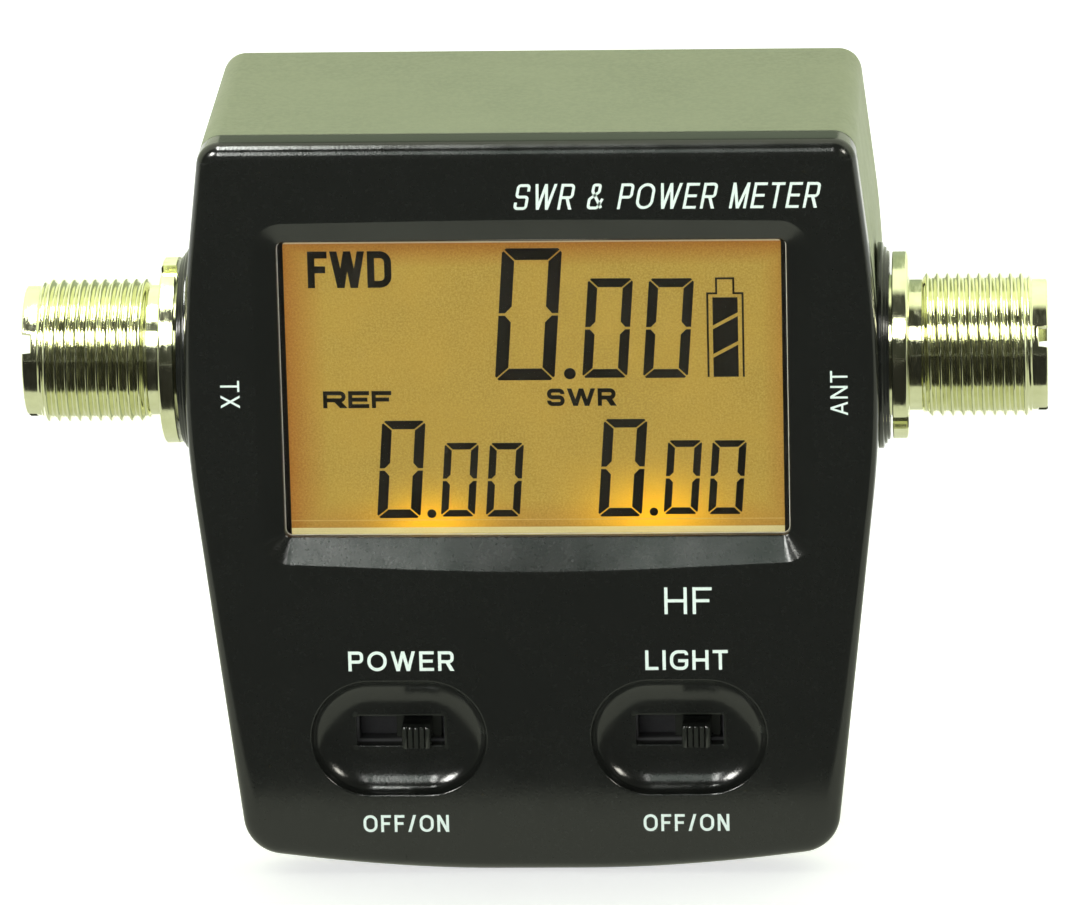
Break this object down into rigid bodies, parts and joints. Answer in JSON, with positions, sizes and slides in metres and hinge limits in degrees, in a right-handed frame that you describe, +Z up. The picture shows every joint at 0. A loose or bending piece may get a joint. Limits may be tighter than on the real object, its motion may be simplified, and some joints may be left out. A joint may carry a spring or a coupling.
{
  "type": "swr meter",
  "caption": "Handheld digital SWR and power meter: tapered case with a backlit display, two slide switches in dished recesses and a threaded coaxial socket on each side.",
  "frame": {"origin": "centre of the case's underside, on the surface that it stands on", "axes": "+X to the right seen from the front, through both coaxial sockets; +Y from the display towards the back; +Z up"},
  "size_m": [0.1128, 0.039, 0.0842],
  "materials": {
    "black_plastic": "moulded black plastic, satin gloss with a fine grain",
    "grey_plastic": "light olive-grey moulded plastic, fine satin grain",
    "nickel_plating": "bright nickel plate, warm tint, machined thread",
    "contact_brass": "bright brass",
    "white_dielectric": "off-white dielectric, satin",
    "screw_steel": "zinc-plated steel",
    "tinplate": "tinned sheet, semi-bright",
    "lcd_amber": "backlit liquid-crystal cell, even amber glow, brighter over its lamps",
    "clear_window": "clear polished acrylic",
    "diffuser": "milky translucent acrylic",
    "circuit_board": "green solder mask, satin",
    "component_black": "black moulding compound, matte",
    "ferrite": "dark grey sintered ferrite",
    "elastomer": "soft layered elastomer",
    "cell_wrap": "plain blue cell sleeve, gloss",
    "legend_ink": "pale grey-white screen-printed ink",
    "lcd_ink": "dark display segments"
  },
  "bodies": {
    "root": {"ant_socket_boss": "black_plastic", "ant_socket_contact": "contact_brass", "ant_socket_insulator": "white_dielectric", "ant_socket_nut": "nickel_plating", "ant_socket_shell": "nickel_plating", "backlight_led_1": "diffuser", "backlight_led_2": "diffuser", "battery_cell_1": "cell_wrap", "battery_cell_2": "cell_wrap", "battery_cell_3": "cell_wrap", "battery_contact_left": "tinplate", "battery_contact_right": "tinplate", "board_screw_1": "screw_steel", "board_screw_2": "screw_steel", "board_screw_3": "screw_steel", "board_screw_4": "screw_steel", "case_screw_1": "screw_steel", "case_screw_2": "screw_steel", "case_screw_3": "screw_steel", "case_screw_4": "screw_steel", "coupler_board": "circuit_board", "crystal": "tinplate", "display_window": "clear_window", "elastomer_strip": "elastomer", "forward_detector_diode": "component_black", "forward_toroid_core": "ferrite", "forward_trimmer": "white_dielectric", "front_panel": "black_plastic", "lcd_frame": "black_plastic", "lcd_glass": "lcd_amber", "light_guide": "diffuser", "light_switch_body": "component_black", "light_switch_frame": "component_black", "main_board": "circuit_board", "microcontroller": "component_black", "power_switch_body": "component_black", "power_switch_frame": "component_black", "rear_housing": "grey_plastic", "reflected_detector_diode": "component_black", "reflected_toroid_core": "ferrite", "reflected_trimmer": "white_dielectric", "shield_box": "tinplate", "shield_lid": "tinplate", "through_line": "contact_brass", "tx_socket_boss": "black_plastic", "tx_socket_contact": "contact_brass", "tx_socket_insulator": "white_dielectric", "tx_socket_nut": "nickel_plating", "tx_socket_shell": "nickel_plating", "voltage_regulator": "component_black"},
    "power_slider": {"power_switch_slider": "black_plastic"},
    "light_slider": {"light_switch_slider": "black_plastic"},
    "door": {"battery_door": "grey_plastic"}
  },
  "joints": [
    {"name": "power_switch_slide", "type": "slide", "parent": "root", "child": "power_slider", "axis": [1, 0, 0], "range_m": [-0.0038, 0]},
    {"name": "light_switch_slide", "type": "slide", "parent": "root", "child": "light_slider", "axis": [1, 0, 0], "range_m": [-0.0038, 0]},
    {"name": "battery_door_release", "type": "slide", "parent": "root", "child": "door", "axis": [0, 1, 0], "range_m": [0, 0.03]}
  ]
}
